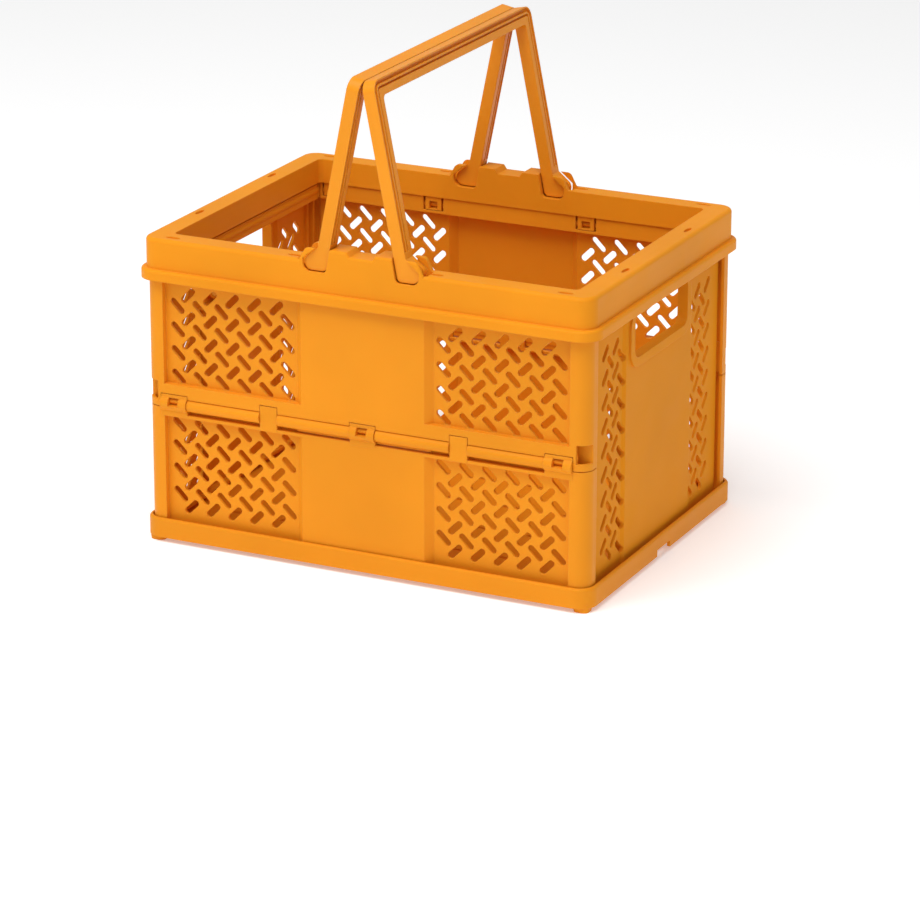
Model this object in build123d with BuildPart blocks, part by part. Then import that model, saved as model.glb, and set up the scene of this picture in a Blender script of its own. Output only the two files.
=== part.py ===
"""Folding stacking crate with two swinging carry handles.

Millimetres. Origin at the bottom centre, X along the length, Y along the
width with the front long side facing -Y, Z up. The walls are held between
the rim frame and the base tray by moulded rods that snap into clips.
"""

import os
from math import cos, radians, sin

from build123d import *

os.makedirs("parts", exist_ok=True)

WALL = 2.5

# Rim frame: an inverted channel with a bell lip round its lower edge
RIM_X, RIM_Y, RIM_R = 180.0, 133.6, 12.0
RIM_IN_X, RIM_IN_Y = 162.0, 115.6
RIM_TOP = 234.5
RIM_SEAM = 215.5
RIM_T = 2.6
LIP_X, LIP_Y, LIP_R = 184.0, 137.6, 16.0
LIP_LOW, LIP_TOP = 203.4, 211.4

# Raised blocks on the long sides, which house the handle feet
BLOCK_TOP = 244.0
BLOCK_MID = 240.5
CHEEK_OUT, CHEEK_IN = 131.8, 119.2

# Handles: planar bails that lean towards each other
LEAN = 11.31
PIVOT_X, PIVOT_Z = 39.9, 232.9
ARM_Y = 125.5
ARM_W = 11.8
BAIL_NEAR, BAIL_T = -2.5, 9.5
BAIL_TOP = 141.7
GRIP_H = 12.5
HEEL_R = 5.8
PIN_R, PIN_BORE_R = 2.5, 2.55
FOOT_SLOT_R, FOOT_SLOT_W = 8.0, 5.0
WEB_T = 4.4

# Long side panels
FACE_Y, SKIN_Y = 131.7, 126.7
POST_IN, POST_X, POST_END = 163.4, 178.1, 116.5
PANEL_TOP, PANEL_BASE = 207.0, 9.1
SPLIT_Z = 105.7
MID_Y, MID_Z, MID_PIN_R = 129.3, 110.4, 2.0
ROD_Y, ROD_Z, ROD_R, CLIP_R = 129.3, 108.6, 4.6, 5.6
BAND_LOW, BAND_TOP = 113.4, 123.7
RECESS_Y = 129.6
CLIP_AT = (-155.25, 0.0, 155.25)
CLIP_LEN = (21.5, 20.4, 21.5)
TAB_AT, TAB_LEN = 76.75, 13.9

# Slot weave: two crossed lattices, half a pitch apart
PITCH = 18.2
SLOT_L, SLOT_W = 14.2, 5.1
FALL_X = [s * (62.7 + PITCH * k) for s in (-1, 1) for k in range(6)]
RISE_X = [s * (71.9 + PITCH * k) for s in (-1, 1) for k in range(5)]

# Hinges of the long side panels, at the rim and at the base
LINK_Y, LINK_R, LINK_PIN_R, LINK_BORE_R = 121.5, 3.0, 2.2, 2.26
LINK_TOP_Z, LINK_LOW_Z = 208.7, 13.3
LINK_AT = (-152.0, -64.2, 64.2, 152.0)
BEAM_X = 162.5

# End walls, hung from the rim on a round top bar
END_AXIS_X, END_AXIS_Z, END_BAR_R = 168.0, 209.0, 5.3
END_W = 115.2
END_SKIN, END_FACE, END_LOW = 173.6, 175.4, 12.0
TRUNNION_R, TRUNNION_BORE_R = 3.0, 3.05

# Base tray
TRAY_X, TRAY_Y, TRAY_R = 181.65, 135.25, 13.5
TRAY_LOW, TRAY_TOP = 3.7, 18.7
FLOOR_LOW, FLOOR_TOP = 6.2, 8.7

LEAN_C, LEAN_S = cos(radians(LEAN)), sin(radians(LEAN))


def bail_point(n, u):
    """X and Z of a point n along the bail plane's normal and u up the bail."""
    return (PIVOT_X + n * LEAN_C - u * LEAN_S, PIVOT_Z + n * LEAN_S + u * LEAN_C)


def mirrored(points, side):
    """The points as drawn on the right, or flipped for the left side."""
    return [(side * x, z) for x, z in points]


def slab(x0, x1, y0, y1, z0, z1):
    """A box between two corners."""
    (x0, x1), (y0, y1) = sorted((x0, x1)), sorted((y0, y1))
    return Solid.make_box(x1 - x0, y1 - y0, z1 - z0, Plane((x0, y0, z0)))


def rod_x(x0, x1, y, z, radius):
    """A cylinder along X."""
    return Solid.make_cylinder(radius, x1 - x0, Plane((x0, y, z), z_dir=(1, 0, 0)))


def rod_y(x, y0, y1, z, radius):
    """A cylinder along Y."""
    return Solid.make_cylinder(radius, y1 - y0, Plane((x, y0, z), z_dir=(0, 1, 0)))


def prism(points, y0, y1):
    """A polygon in X and Z, extruded from y0 to y1."""
    outline = Face(Wire.make_polygon([(x, y0, z) for x, z in points], close=True))
    return Solid.extrude(outline, Vector(0, y1 - y0, 0))


def raised_block(side):
    """One raised block with rounded shoulders and a low middle."""
    half = [(9.0, BLOCK_MID), (11.5, BLOCK_TOP), (44.5, BLOCK_TOP), (49.5, RIM_TOP), (49.5, 229.0)]
    outline = mirrored(half[::-1], -1) + half
    block = prism(outline, RIM_IN_Y, RIM_Y)
    shoulders = block.edges().filter_by(Axis.Y).filter_by(lambda e: abs(abs(e.center().X) - 44.5) < 0.1)
    block = block.fillet(4.5, shoulders)
    rims = block.faces().sort_by(Axis.Y)[-1].edges().filter_by(lambda e: e.center().Z > 236)
    block = block.fillet(1.6, rims)
    return block if side > 0 else Rot(0, 0, 180) * block


def pocket_space(end):
    """The cavity in which a handle foot turns."""
    outline = [(23.6, 246), (27.0, 229.0), (27.0, 226.2), (47.3, 226.2)]
    outline += [(47.3, 230.4), (52.3, 234.5), (52.3, 246)]
    return prism(mirrored(outline, end), CHEEK_IN, CHEEK_OUT)


def pocket_window(end):
    """The boot-shaped window that pierces both cheeks of a pocket."""
    outline = [bail_point(-12.6, 16.0), (28.0, 226.5), (46.3, 226.5), (46.3, 235.9), (36.5, 244.0), (36.1, 246)]
    window = prism(mirrored(outline, end), RIM_IN_Y - 1, LIP_Y + 1)
    for x, radius in ((28.0, 3.6), (46.3, 6.0)):
        corner = [e for e in window.edges().filter_by(Axis.Y)
                  if abs(abs(e.center().X) - x) < 0.1 and e.center().Z < 227]
        window = window.fillet(radius, corner)
    return window


def snap_web(end):
    """The upright web in a pocket whose open bore holds the handle pin."""
    web = rod_y(end * PIVOT_X, ARM_Y - WEB_T / 2, ARM_Y + WEB_T / 2, PIVOT_Z, 5.0)
    web += slab(end * PIVOT_X - 3.3, end * PIVOT_X + 3.3, ARM_Y - WEB_T / 2, ARM_Y + WEB_T / 2, 224.0, PIVOT_Z)
    web -= rod_y(end * PIVOT_X, ARM_Y - 4, ARM_Y + 4, PIVOT_Z, PIN_BORE_R)
    mouth = slab(end * PIVOT_X - 2.0, end * PIVOT_X + 2.0, ARM_Y - 4, ARM_Y + 4, PIVOT_Z, PIVOT_Z + 8)
    return web - mouth


def link_clip(x, low, high, axis_z):
    """A hinge clip with a bore and a window on the inner face."""
    clip = slab(x - 6.75, x + 6.75, 117.0, 123.9, low, high)
    clip -= rod_x(x - 8, x + 8, LINK_Y, axis_z, LINK_BORE_R)
    return clip - slab(x - 3.5, x + 3.5, 116, LINK_Y, axis_z - 2.9, axis_z + 2.9)


def panel_profile():
    """Plan section of a long side panel: centre panel, skins and corner posts."""
    with BuildSketch(Plane.XY) as section:
        for side in (-1, 1):
            with BuildLine():
                Polyline(
                    (0, FACE_Y),
                    (side * 49.5, FACE_Y),
                    (side * 55.0, SKIN_Y),
                    (side * POST_IN, SKIN_Y),
                    (side * POST_IN, FACE_Y),
                    (side * (POST_X - 10), FACE_Y),
                )
                RadiusArc((side * (POST_X - 10), FACE_Y), (side * POST_X, FACE_Y - 10), side * 10)
                Polyline(
                    (side * POST_X, FACE_Y - 10),
                    (side * POST_X, POST_END),
                    (side * (POST_X - WALL), POST_END),
                    (side * (POST_X - WALL), FACE_Y - 10),
                )
                RadiusArc(
                    (side * (POST_X - WALL), FACE_Y - 10),
                    (side * (POST_X - 10), FACE_Y - WALL),
                    side * -7.5,
                )
                Polyline(
                    (side * (POST_X - 10), FACE_Y - WALL),
                    (side * (POST_IN + WALL), FACE_Y - WALL),
                    (side * (POST_IN + WALL), SKIN_Y - WALL),
                    (side * 54.0, SKIN_Y - WALL),
                    (side * 48.5, FACE_Y - WALL),
                    (0, FACE_Y - WALL),
                    (0, FACE_Y),
                )
            make_face()
    return section.sketch


# ---------------------------------------------------------------- rim frame
rim_blocks = [raised_block(1), raised_block(-1)]
hollows = [slab(-21.0, 21.0, 118.2, 131.0, 220.0, 237.6)]
housings, pockets, webs, rim_clips, ears, recesses = [], [], [], [], [], []
for end in (-1, 1):
    housings.append(slab(end * 20.8, end * 55, 117.0, 132.0, 223.4, 233.0))
    housings.append(slab(end * 20.8, end * 47, 117.0, 132.0, 230.0, 236.5))
    pockets.append(pocket_space(end))
    pockets.append(pocket_window(end))
    webs.append(snap_web(end))
    for y in (115.6, -118.2):
        ear = slab(end * 163.0, end * 173.2, y, y + 2.6, 203.5, 233.0)
        ears.append(ear - rod_y(end * END_AXIS_X, y - 1, y + 4, END_AXIS_Z, TRUNNION_BORE_R))
    for x in (-157.0, -56.0, 56.0, 157.0):
        recesses.append(scale(Cylinder(1.9, 3.4), by=(3.2, 1, 1)).moved(Location((x, end * 125.5, RIM_TOP))))
    for y in (-57.0, 57.0):
        recesses.append(scale(Cylinder(1.9, 3.4), by=(1, 3.2, 1)).moved(Location((end * 172.5, y, RIM_TOP))))
for x in LINK_AT:
    rim_clips.append(link_clip(x, 204.8, 219.0, LINK_TOP_Z))

# bell lip, made on its own so that its top edge can be rounded
with BuildPart() as bell_lip:
    with BuildSketch(Plane.XY.offset(LIP_LOW)):
        RectangleRounded(2 * LIP_X, 2 * LIP_Y, LIP_R)
    extrude(amount=LIP_TOP - LIP_LOW)
    fillet(bell_lip.faces().sort_by(Axis.Z)[-1].edges(), 2.2)
    with BuildSketch(Plane.XY.offset(LIP_LOW)):
        RectangleRounded(2 * (LIP_X - RIM_T), 2 * (LIP_Y - RIM_T), LIP_R - RIM_T)
    extrude(amount=209.0 - LIP_LOW, mode=Mode.SUBTRACT)
    with BuildSketch(Plane.XY.offset(LIP_LOW)):
        RectangleRounded(2 * (RIM_X - RIM_T), 2 * (RIM_Y - RIM_T), RIM_R - RIM_T)
    extrude(amount=LIP_TOP - LIP_LOW, mode=Mode.SUBTRACT)
lip = bell_lip.part

with BuildPart() as rim_frame:
    with BuildSketch(Plane.XY.offset(209.0)):
        RectangleRounded(2 * RIM_X, 2 * RIM_Y, RIM_R)
    extrude(amount=RIM_TOP - 209.0)
    fillet(rim_frame.faces().sort_by(Axis.Z)[-1].edges(), 3.0)
    add(rim_blocks)
    with BuildSketch(Plane.XY.offset(200.0)):
        RectangleRounded(2 * RIM_IN_X, 2 * RIM_IN_Y, 4.0)
    extrude(amount=60, mode=Mode.SUBTRACT)
    # hollow of the channel
    with BuildSketch(Plane.XY.offset(200.0)):
        RectangleRounded(2 * (RIM_X - RIM_T), 2 * (RIM_Y - RIM_T), RIM_R - RIM_T)
        RectangleRounded(2 * (RIM_IN_X + RIM_T), 2 * (RIM_IN_Y + RIM_T), 5.0, mode=Mode.SUBTRACT)
    extrude(amount=RIM_TOP - RIM_T - 200.0, mode=Mode.SUBTRACT)
    with BuildSketch(Plane.XY.offset(200.0)):
        RectangleRounded(2 * (RIM_X - RIM_T), 2 * (RIM_Y - RIM_T), RIM_R - RIM_T)
    extrude(amount=RIM_SEAM - 200.0, mode=Mode.SUBTRACT)
    add(lip)
    # pockets, webs, clips: drawn at the back, and turned to the front
    for turn in (Location(), Location((0, 0, 0), (0, 0, 180))):
        add([piece.moved(turn) for piece in hollows], mode=Mode.SUBTRACT)
        add([piece.moved(turn) for piece in housings])
        add([piece.moved(turn) for piece in pockets], mode=Mode.SUBTRACT)
        add([piece.moved(turn) for piece in webs])
        add([piece.moved(turn) for piece in rim_clips])
    add(recesses, mode=Mode.SUBTRACT)
    add(ears)
rim_frame.part.label = "rim_frame"

# ---------------------------------------------------------------- base tray
tray_ribs, notches, tray_clips = [], [], []
for x in range(-135, 136, 45):
    tray_ribs.append(slab(x - 1, x + 1, -133.5, 133.5, 4.2, 6.5))
for y in range(-100, 101, 50):
    tray_ribs.append(slab(-180, 180, y - 1, y + 1, 4.2, 6.5))
for end in (-1, 1):
    notches.append(slab(end * 175, end * 190, -12, 12, 0, 8.7))
    tray_ribs.append(slab(end * 170, end * 175, -15, 15, 4.2, 6.5))
    tray_clips += [link_clip(x, 8.0, 17.4, LINK_LOW_Z).moved(Location((0, 0, 0), (0, 0, 90 - end * 90)))
                   for x in LINK_AT]

with BuildPart() as base_tray:
    with BuildSketch(Plane.XY.offset(TRAY_LOW)):
        RectangleRounded(2 * TRAY_X, 2 * TRAY_Y, TRAY_R)
    extrude(amount=TRAY_TOP - TRAY_LOW)
    fillet(base_tray.faces().sort_by(Axis.Z)[-1].edges(), 2.0)
    with BuildSketch(Plane.XY.offset(FLOOR_TOP)):
        RectangleRounded(2 * (TRAY_X - WALL), 2 * (TRAY_Y - WALL), TRAY_R - WALL)
    extrude(amount=20, mode=Mode.SUBTRACT)
    with BuildSketch(Plane.XY.offset(TRAY_LOW)):
        RectangleRounded(2 * (TRAY_X - WALL), 2 * (TRAY_Y - WALL), TRAY_R - WALL)
    extrude(amount=FLOOR_LOW - TRAY_LOW, mode=Mode.SUBTRACT)
    add(tray_ribs)
    add(notches, mode=Mode.SUBTRACT)
    # drain slots
    with BuildSketch(Plane.XY.offset(3.0)):
        with GridLocations(45, 50, 7, 4):
            SlotOverall(16, 4)
    extrude(amount=8, mode=Mode.SUBTRACT)
    # corner feet
    with BuildSketch(Plane.XY.offset(6.5)):
        with GridLocations(2 * 172.6, 2 * 126.2, 2, 2):
            RectangleRounded(13.5, 13.5, 5.0)
    extrude(amount=-6.5, taper=8)
    add(tray_clips)
base_tray.part.label = "base_tray"


# ------------------------------------------------------------- long panels
# Drawn at the back, then turned to the front by half a turn.
def link_rod(axis_z):
    """Hinge rod along a panel's beam, necked where the clips hold it."""
    necks = [-BEAM_X] + [x + d for x in LINK_AT for d in (-7.2, 7.2)] + [BEAM_X]
    pieces = [rod_x(a, b, LINK_Y, axis_z, LINK_R) for a, b in zip(necks[::2], necks[1::2])]
    pieces += [rod_x(x - 7.5, x + 7.5, LINK_Y, axis_z, LINK_PIN_R) for x in LINK_AT]
    return pieces


def panel_slots(high_row, low_step):
    """Both lattices of a panel, as cutters through the back skins."""
    fall = [high_row - PITCH * k for k in range(4)]
    rise = [z + low_step for z in fall]
    cutters = []
    for columns, rows, tilt in ((FALL_X, fall, 45), (RISE_X, rise, -45)):
        with BuildSketch(Plane.XZ.offset(-130)) as slots:
            with Locations(*[(x, z) for x in columns for z in rows]):
                SlotOverall(SLOT_L, SLOT_W, rotation=tilt)
        cutters.append(extrude(slots.sketch, amount=8))
    return cutters


upper_slots = panel_slots(183.4, PITCH / 2)
lower_slots = panel_slots(92.1, -PITCH / 2)
plan = panel_profile()

upper_extra = [
    slab(-POST_IN - 1, POST_IN + 1, SKIN_Y - WALL, FACE_Y, BAND_TOP - 2.4, BAND_TOP),
    slab(-POST_IN - 1, POST_IN + 1, FACE_Y - 2.2, FACE_Y, BAND_LOW, BAND_TOP),
    slab(-POST_IN - 1, POST_IN + 1, SKIN_Y - 0.5, RECESS_Y, SPLIT_Z + 0.3, BAND_LOW + 2.6),
    slab(-54.0, 54.0, SKIN_Y + 0.1, RECESS_Y, 102.4, SPLIT_Z + 0.5),
    slab(-BEAM_X, BEAM_X, 117.0, 119.2, 202.2, 215.2),
    slab(-BEAM_X, BEAM_X, 117.0, SKIN_Y - 1, 202.2, 204.4),
    slab(-50.0, 50.0, 120.0, FACE_Y - 1, 202.2, 204.4),
]
upper_extra += [slab(s * 57, s * BEAM_X, SKIN_Y - WALL, SKIN_Y, 206, 214) for s in (-1, 1)]
upper_cuts = [slab(x - 8.5, x + 8.5, 116, 120.5, 204.4, 216) for x in LINK_AT]
upper_cuts.append(slab(-POST_IN, POST_IN, RECESS_Y, 140, 100, BAND_LOW))
upper_cuts += [slab(s * 168.6, s * 180, 123.0, 133, 111.2, 125.3) for s in (-1, 1)]
upper_extra += [slab(s * 165.0, s * 176.5, 121.0, 122.9, 106.5, 130.0) for s in (-1, 1)]
lower_extra = [
    slab(-POST_IN - 1, POST_IN + 1, SKIN_Y - WALL, FACE_Y, 98.9, 101.3),
    slab(-BEAM_X, BEAM_X, 117.0, 119.2, 9.1, 19.8),
    slab(-BEAM_X, BEAM_X, 117.0, SKIN_Y - 1, 17.6, 19.8),
    slab(-50.0, 50.0, 120.0, FACE_Y - 1, 17.6, 19.8),
]
lower_cuts = [slab(x - 8.5, x + 8.5, 116, 120.5, 9.0, 17.6) for x in LINK_AT]

# middle hinge: a rod on the upper panel, held by clips and tabs of the lower
holds = [(x, length, True) for x, length in zip(CLIP_AT, CLIP_LEN)]
holds += [(s * TAB_AT, TAB_LEN, False) for s in (-1, 1)]
holds.sort()
behind = slab(-200, 200, 100, SKIN_Y, 90, 130)
rods, mid_pins, clips, clip_bores, clip_space = [], [], [], [], []
start = -POST_IN - 1
far_end = (POST_IN + 1.4, 0, False)
# each stretch of rod runs from the last clip or tab to the next, and the far end closes the row
for x, length, is_clip in holds + [far_end]:
    left, right = x - length / 2, x + length / 2
    if left - 0.4 - start > 1:
        rods.append(rod_x(start, left - 0.4, ROD_Y, ROD_Z, ROD_R) - behind)
    start = right + 0.4
    if length == 0:
        continue
    mid_pins.append(rod_x(left - 1, right + 1, MID_Y, MID_Z, MID_PIN_R))
    high = MID_Z + 5.4 if is_clip else 118.2
    if is_clip:
        round_face = rod_x(left, right, ROD_Y, ROD_Z, CLIP_R) - behind
        clips.append(round_face & slab(left, right, 120, 140, 100, high))
        clip_bores.append(slab(x - 4.2, x + 4.2, MID_Y, 135, MID_Z - 2.9, MID_Z + 2.9))
    clips.append(slab(left, right, SKIN_Y - WALL, 131.9, 99.0, high))
    clip_bores.append(rod_x(left - 1, right + 1, MID_Y, MID_Z, MID_PIN_R + 0.05))
    clip_space.append(slab(left - 0.4, right + 0.4, 120, 135, 99.0, high + 0.5))

with BuildPart() as back_upper_panel:
    add(plan)
    extrude(amount=PANEL_TOP)
    add(slab(-200, 200, 100, 140, -1, SPLIT_Z + 0.3), mode=Mode.SUBTRACT)
    add(upper_slots, mode=Mode.SUBTRACT)
    add(upper_extra)
    add(upper_cuts, mode=Mode.SUBTRACT)
    add(rods)
    add(clip_space, mode=Mode.SUBTRACT)
    add(mid_pins)
    add(link_rod(LINK_TOP_Z))
back_upper_panel.part.label = "back_upper_panel"

# the lower panel stops under the rod, and its clips and tabs rise from the ledge
with BuildPart() as back_lower_panel:
    add(plan)
    extrude(amount=SPLIT_Z - 0.3)
    add(slab(-200, 200, 100, 140, -1, PANEL_BASE), mode=Mode.SUBTRACT)
    add(slab(-POST_IN, POST_IN, SKIN_Y, 140, 101.2, 110), mode=Mode.SUBTRACT)
    add(lower_slots, mode=Mode.SUBTRACT)
    add(lower_extra)
    add(lower_cuts, mode=Mode.SUBTRACT)
    add(clips)
    add(clip_bores, mode=Mode.SUBTRACT)
    add(link_rod(LINK_LOW_Z))
back_lower_panel.part.label = "back_lower_panel"

with BuildPart() as front_upper_panel:
    add(back_upper_panel.part, rotation=(0, 0, 180))
front_upper_panel.part.label = "front_upper_panel"

with BuildPart() as front_lower_panel:
    add(back_lower_panel.part, rotation=(0, 0, 180))
front_lower_panel.part.label = "front_lower_panel"

# --------------------------------------------------------------- end walls
end_cutters = []
for columns, first, tilt in (((-93.3, -75.1, 75.1, 93.3), 37.7, 45), ((-84.2, -66.0, 66.0, 84.2), 28.7, -45)):
    with BuildSketch(Plane.YZ.offset(168)) as slots:
        with Locations(*[(y, first + PITCH * k) for y in columns for k in range(9)]):
            SlotOverall(SLOT_L, SLOT_W, rotation=tilt)
    end_cutters.append(extrude(slots.sketch, amount=8))
with BuildSketch(Plane.YZ.offset(165)) as hand_hole:
    with Locations((0, 183.8)):
        RectangleRounded(97.0, 35.8, 7.5)
hand_opening = extrude(hand_hole.sketch, amount=20)
with BuildSketch(Plane.YZ.offset(173.0)) as hand_rim:
    with Locations((0, 181.4)):
        RectangleRounded(111.0, 45.0, 14.0)
hand_frame = extrude(hand_rim.sketch, amount=4.2)
with BuildSketch(Plane.YZ.offset(169.0)) as hand_tube:
    with Locations((0, 183.8)):
        RectangleRounded(102.0, 40.8, 10.0)
hand_liner = extrude(hand_tube.sketch, amount=4)
end_ribs = [slab(166.5, 173.0, s * (END_W - WALL), s * END_W, END_LOW, 205.0) for s in (-1, 1)]
for s in (-1, 1):
    end_ribs.append(slab(168.0, 173.0, s * 57.0, s * 59.0, END_LOW, 160.0))
    end_ribs.append(slab(168.0, 173.0, s * 106.0, s * 108.0, END_LOW, 203.0))
end_ribs.append(slab(167.0, 173.0, -END_W, END_W, END_LOW, END_LOW + WALL))
end_ribs.append(slab(168.0, 173.0, -60.0, 60.0, 159.0, 161.0))
end_ribs.append(slab(163.3, 165.5, -114.5, 114.5, 202.4, 214.0))
end_ribs.append(slab(163.3, 173.0, -114.5, 114.5, 202.4, 204.4))
end_bar = rod_y(END_AXIS_X, -END_W, END_W, END_AXIS_Z, END_BAR_R)
trunnion = rod_y(END_AXIS_X, -119.5, 119.5, END_AXIS_Z, TRUNNION_R)

with BuildPart() as end_wall_right:
    with BuildSketch(Plane.XY.offset(END_LOW)):
        for s in (-1, 1):
            with BuildLine():
                Polyline(
                    (END_FACE, 0),
                    (END_FACE, s * 60.0),
                    (END_SKIN, s * 63.0),
                    (END_SKIN, s * END_W),
                    (END_SKIN - WALL, s * END_W),
                    (END_SKIN - WALL, s * 62.0),
                    (END_FACE - WALL, s * 59.0),
                    (END_FACE - WALL, 0),
                    (END_FACE, 0),
                )
            make_face()
    extrude(amount=205.0 - END_LOW)
    add(end_cutters, mode=Mode.SUBTRACT)
    add(hand_frame)
    add(hand_liner)
    add(end_ribs)
    add(hand_opening, mode=Mode.SUBTRACT)
    add(end_bar)
    add(trunnion)
end_wall_right.part.label = "end_wall_right"

with BuildPart() as end_wall_left:
    add(end_wall_right.part, rotation=(0, 0, 180))
end_wall_left.part.label = "end_wall_left"


# ----------------------------------------------------------------- handles
BAIL_PLANE = Plane((PIVOT_X, 0, PIVOT_Z), x_dir=(0, 1, 0), z_dir=(LEAN_C, 0, LEAN_S))


def bail_band(outset, inset, low):
    """A U-shaped band between two insets from the bail's outer outline."""
    with BuildSketch(BAIL_PLANE) as shape:
        for d, mode in ((outset, Mode.ADD), (inset, Mode.SUBTRACT)):
            half, top = ARM_Y + ARM_W / 2 - d, BAIL_TOP - d
            with Locations((0, top - 100)):
                RectangleRounded(2 * half, 200, max(8.5 - d, 1.0), mode=mode)
        with Locations((0, low - 150)):
            Rectangle(400, 300, mode=Mode.SUBTRACT)
    return shape.sketch


with BuildSketch(BAIL_PLANE) as bail:
    with Locations((0, BAIL_TOP / 2)):
        RectangleRounded(2 * ARM_Y + ARM_W, BAIL_TOP, 8.5)
    with Locations((0, 8)):
        Rectangle(2 * ARM_Y + ARM_W, 16)
    with Locations((0, (BAIL_TOP - GRIP_H) / 2 - 10)):
        RectangleRounded(2 * ARM_Y - ARM_W, BAIL_TOP - GRIP_H + 20, 3.5, mode=Mode.SUBTRACT)
bail_solid = extrude(bail.sketch, amount=BAIL_T, dir=-BAIL_PLANE.z_dir).moved(
    Location(BAIL_PLANE.z_dir * BAIL_NEAR))

GROOVE = 2.5
with BuildSketch(BAIL_PLANE) as last_groove:
    add(bail_band(8.3, 20.0, 17.0))
    with Locations((0, (BAIL_TOP - GRIP_H) / 2 - 10)):
        RectangleRounded(2 * ARM_Y - ARM_W + 2.2, BAIL_TOP - GRIP_H + 22.2, 4.5, mode=Mode.SUBTRACT)
groove_faces = [bail_band(1.0, 3.8, 17.0), bail_band(5.3, 7.0, 17.0), last_groove.sketch]
grooves = []
for face in groove_faces:
    for near in (BAIL_NEAR + 1, BAIL_NEAR - BAIL_T + GROOVE):
        band = extrude(face, amount=GROOVE + 1, dir=-BAIL_PLANE.z_dir)
        grooves.append(band.moved(Location(BAIL_PLANE.z_dir * near)))

foot_outline = [
    bail_point(-12.0, 17.0),
    (28.82, 227.1),
    (PIVOT_X, 227.1),
    (PIVOT_X, PIVOT_Z),
    (43.56, 237.4),
    bail_point(-2.5, 12.14),
    bail_point(-2.5, 17.0),
]
feet, foot_slots, foot_pins = [], [], []
for s in (-1, 1):
    y0, y1 = s * ARM_Y - ARM_W / 2, s * ARM_Y + ARM_W / 2
    foot = prism(foot_outline, y0, y1)
    foot = foot.fillet(3.5, foot.edges().filter_by(Axis.Y).filter_by(lambda e: abs(e.center().X - 28.82) < 0.1))
    feet.append(foot)
    feet.append(rod_y(PIVOT_X, y0, y1, PIVOT_Z, HEEL_R))
    mid = s * ARM_Y
    foot_slots.append(rod_y(PIVOT_X, mid - FOOT_SLOT_W / 2, mid + FOOT_SLOT_W / 2, PIVOT_Z, FOOT_SLOT_R))
    foot_slots.append(slab(20, 60, y0 - 1, y1 + 1, 200, 227.1))
    foot_pins.append(rod_y(PIVOT_X, y0 + 0.5, y1 - 0.5, PIVOT_Z, PIN_R))
below_bail = [bail_point(n, u) for n, u in ((-30, 14), (-2.5, 14), (-2.5, -20), (-30, -20))]
trim = prism(below_bail, -140, 140)

with BuildPart() as handle_right:
    add(bail_solid)
    add(trim, mode=Mode.SUBTRACT)
    add(grooves, mode=Mode.SUBTRACT)
    add(feet)
    add(foot_slots, mode=Mode.SUBTRACT)
    add(foot_pins)
handle_right.part.label = "handle_right"

with BuildPart() as handle_left:
    add(handle_right.part, rotation=(0, 0, 180))
handle_left.part.label = "handle_left"

for piece in (
    rim_frame,
    base_tray,
    front_upper_panel,
    front_lower_panel,
    back_upper_panel,
    back_lower_panel,
    end_wall_left,
    end_wall_right,
    handle_left,
    handle_right,
):
    export_step(piece.part, "parts/" + piece.part.label + ".step")
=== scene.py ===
"""Folding stacking crate: materials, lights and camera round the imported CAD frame."""

from math import cos, radians, sin

import bpy
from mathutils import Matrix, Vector

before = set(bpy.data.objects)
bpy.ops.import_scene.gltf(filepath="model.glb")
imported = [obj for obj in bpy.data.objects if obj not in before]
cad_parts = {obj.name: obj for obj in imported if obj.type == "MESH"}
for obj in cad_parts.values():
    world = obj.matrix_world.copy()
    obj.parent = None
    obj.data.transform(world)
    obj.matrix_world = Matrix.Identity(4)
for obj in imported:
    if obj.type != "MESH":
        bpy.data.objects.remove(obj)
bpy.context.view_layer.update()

# Plastic. Each finish: brightness, roughness, grain strength, gloss level, noise seed, and its nodes
ORANGE = (0.840, 0.298, 0.013)
FINISHES = {
    "rim_plastic": (1.0, 0.36, 0.25, 0.05, 0.0, ("rim_frame",)),
    "tray_plastic": (0.95, 0.40, 0.30, 0.08, 1.7, ("base_tray",)),
    "upper_panel_plastic": (1.0, 0.38, 0.28, 0.09, 3.4, ("front_upper_panel", "back_upper_panel")),
    "lower_panel_plastic": (0.99, 0.38, 0.28, 0.09, 6.8, ("front_lower_panel", "back_lower_panel")),
    "end_wall_plastic": (0.94, 0.39, 0.28, 0.02, 10.2, ("end_wall_left", "end_wall_right")),
    "handle_plastic": (1.03, 0.33, 0.20, 0.16, 13.6, ("handle_left", "handle_right")),
}
EDGE_RADIUS = 0.0009
GRAIN_DEPTH = 0.00012
PLASTIC_IOR = 1.49

# Studio: a white floor, an even surround, and lamps as place, target, size and power
FLOOR_HALF = 9.0
FLOOR_GLOW = 0.28
SKY_STRENGTH = 0.44
LAMPS = {
    "key": ((-1.3, -1.6, 2.2), (0.0, 0.0, 0.1), 1.6, 10.5),
    "top": ((0.0, -1.0, 2.5), (0.0, 0.0, 0.1), 1.8, 45.0),
    "fill": ((2.2, -1.2, 0.9), (0.0, 0.0, 0.1), 1.4, 0.5),
}
WHITE = (1.0, 1.0, 1.0, 1.0)

# Camera
CAMERA_AZIMUTH = radians(25.89)
CAMERA_ELEVATION = radians(18.18)
CAMERA_DISTANCE = 3.174
CAMERA_TARGET = Vector((-0.001, 0.0, 0.1137))
CAMERA_LENS = 166.2
CAMERA_SENSOR = 36.0
CAMERA_SHIFT = (0.0208, -0.0911)
CAMERA_CLIP_END = 50.0


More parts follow.
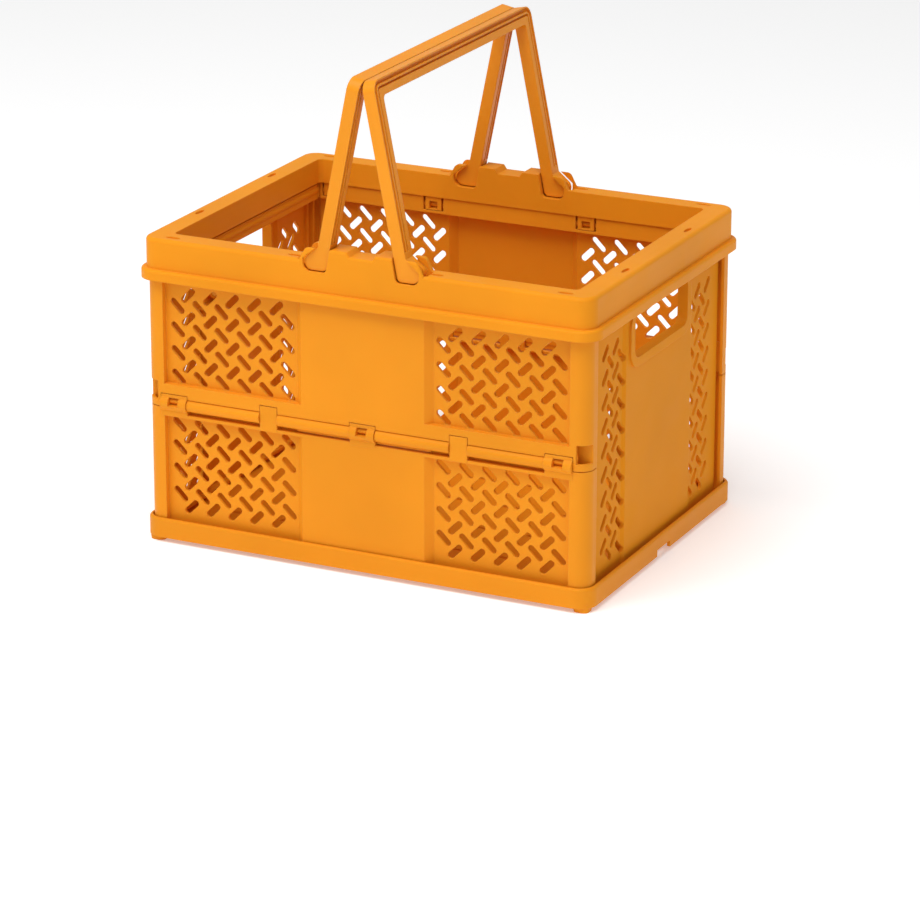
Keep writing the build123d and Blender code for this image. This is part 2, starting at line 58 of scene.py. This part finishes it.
# ------------------------------------------------------------------ materials
class Nodes:
    """A short way to add and link the shader nodes of one material."""

    def __init__(self, name):
        self.material = bpy.data.materials.new(name)
        self.material.use_nodes = True
        self.tree = self.material.node_tree
        self.shader = self.tree.nodes["Principled BSDF"]

    def add(self, kind, **sockets):
        """Adds a node. Socket names use _ for a space."""
        node = self.tree.nodes.new(kind)
        for socket, value in sockets.items():
            self.set(node, socket.replace("_", " "), value)
        return node

    def set(self, node, socket, value):
        """Sets a socket to a value, or links it from a (node, output) pair."""
        if isinstance(value, tuple) and isinstance(value[0], bpy.types.Node):
            self.tree.links.new(value[0].outputs[value[1]], node.inputs[socket])
        else:
            node.inputs[socket].default_value = value

    def noise(self, place, seed, **sockets):
        """A noise texture in the object's own space, with its own seed."""
        node = self.add("ShaderNodeTexNoise", Vector=(place, "Object"), **sockets)
        node.noise_dimensions = "4D"
        node.inputs["W"].default_value = seed
        return (node, "Fac")

    def ramp(self, source, low, high, start, end):
        """Maps a value between start and end onto low to high."""
        node = self.add("ShaderNodeMapRange", Value=source)
        self.set(node, "From Min", start)
        self.set(node, "From Max", end)
        self.set(node, "To Min", low)
        self.set(node, "To Max", high)
        return (node, "Result")

    def mix(self, factor, first, second):
        """A colour that goes from first to second with a factor."""
        node = self.tree.nodes.new("ShaderNodeMix")
        node.data_type = "RGBA"
        self.set(node, "Factor", factor)
        self.set(node, "A", first)
        self.set(node, "B", second)
        return (node, "Result")


def scaled(colour, factor, lift=0.0):
    """A lighter or darker colour, with its alpha."""
    return tuple(min(1.0, c * factor + lift) for c in colour) + (1.0,)


def moulded_plastic(name, colour, roughness, grain, gloss_level, seed):
    """Satin polypropylene: fine spark grain, slow colour drift, and a painted highlight that
    lightens the edges.
    """
    n = Nodes(name)
    place = n.add("ShaderNodeTexCoord")
    drift = n.noise(place, seed, Scale=9.0, Detail=3.0)
    speck = n.noise(place, seed, Scale=620.0, Detail=4.0)
    smear = n.noise(place, seed, Scale=38.0, Detail=5.0, Distortion=0.6)

    # where the rounded normal leaves the flat one, the colour is lightened: a painted edge highlight
    rounded = n.add("ShaderNodeBevel", Radius=EDGE_RADIUS)
    rounded.samples = 4
    flat = n.add("ShaderNodeNewGeometry")
    turn = n.add("ShaderNodeVectorMath")
    turn.operation = "DOT_PRODUCT"
    n.tree.links.new(rounded.outputs["Normal"], turn.inputs[0])
    n.tree.links.new(flat.outputs["Normal"], turn.inputs[1])
    painted_edge_highlight = n.ramp((turn, "Value"), 0.55, 0.0, 0.80, 0.995)

    drifting = n.mix(n.ramp(drift, 0.0, 1.0, 0.3, 0.7), scaled(colour, 0.93), scaled(colour, 1.05))
    # the base colour goes towards a paler orange at the edges: painted highlight
    n.set(n.shader, "Base Color", n.mix(painted_edge_highlight, drifting, scaled(colour, 1.1, 0.035)))
    n.set(n.shader, "Roughness", n.ramp(smear, roughness - 0.05, roughness + 0.07, 0.3, 0.7))
    bump = n.add("ShaderNodeBump", Height=speck, Strength=grain, Distance=GRAIN_DEPTH)
    n.set(bump, "Normal", (rounded, "Normal"))
    n.set(n.shader, "Normal", (bump, "Normal"))
    n.set(n.shader, "IOR", PLASTIC_IOR)
    n.set(n.shader, "Specular IOR Level", gloss_level)
    n.set(n.shader, "Subsurface Weight", 0.12)
    n.set(n.shader, "Subsurface Radius", (1.0, 0.35, 0.08))
    n.set(n.shader, "Subsurface Scale", 0.003)
    return n.material


def dress_crate():
    """Gives every CAD node its finish."""
    for name, (level, roughness, grain, gloss_level, seed, wearers) in FINISHES.items():
        colour = scaled(ORANGE, level)[:3]
        material = moulded_plastic(name, colour, roughness, grain, gloss_level, seed)
        for wearer in wearers:
            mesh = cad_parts[wearer].data
            mesh.materials.clear()
            mesh.materials.append(material)


# ------------------------------------------------------------- floor and light
def studio_floor():
    """A large plain pale floor."""
    n = Nodes("floor")
    n.set(n.shader, "Base Color", (0.93, 0.93, 0.93, 1.0))
    n.set(n.shader, "Roughness", 0.9)
    n.set(n.shader, "Specular IOR Level", 0.1)
    n.set(n.shader, "Emission Color", WHITE)
    n.set(n.shader, "Emission Strength", FLOOR_GLOW)
    mesh = bpy.data.meshes.new("floor")
    half = FLOOR_HALF
    corners = [(-half, -half, 0.0), (half, -half, 0.0), (half, half, 0.0), (-half, half, 0.0)]
    mesh.from_pydata(corners, [], [(0, 1, 2, 3)])
    mesh.materials.append(n.material)
    floor = bpy.data.objects.new("floor", mesh)
    bpy.context.scene.collection.objects.link(floor)


def sky():
    """An even white surround."""
    world = bpy.data.worlds.new("studio")
    world.use_nodes = True
    background = world.node_tree.nodes["Background"]
    background.inputs["Color"].default_value = WHITE
    background.inputs["Strength"].default_value = SKY_STRENGTH
    bpy.context.scene.world = world


def softbox(name, place, target, size, power):
    """A square area light that faces a target."""
    data = bpy.data.lights.new(name, "AREA")
    data.shape = "SQUARE"
    data.size = size
    data.energy = power
    lamp = bpy.data.objects.new(name, data)
    lamp.location = place
    lamp.rotation_euler = (Vector(target) - Vector(place)).to_track_quat("-Z", "Y").to_euler()
    bpy.context.scene.collection.objects.link(lamp)


# --------------------------------------------------------------------- camera
def studio_camera():
    """The long-lens camera, in front of the crate and to its right."""
    level = cos(CAMERA_ELEVATION)
    back = Vector((sin(CAMERA_AZIMUTH) * level, -cos(CAMERA_AZIMUTH) * level, sin(CAMERA_ELEVATION)))
    data = bpy.data.cameras.new("camera")
    data.sensor_width = CAMERA_SENSOR
    data.lens = CAMERA_LENS
    data.shift_x, data.shift_y = CAMERA_SHIFT
    data.clip_end = CAMERA_CLIP_END
    camera = bpy.data.objects.new("camera", data)
    camera.location = CAMERA_TARGET + back * CAMERA_DISTANCE
    camera.rotation_euler = (-back).to_track_quat("-Z", "Y").to_euler()
    bpy.context.scene.collection.objects.link(camera)
    bpy.context.scene.camera = camera


dress_crate()
studio_floor()
sky()
for lamp_name, settings in LAMPS.items():
    softbox(lamp_name, *settings)
studio_camera()
bpy.context.scene.view_settings.view_transform = "Standard"
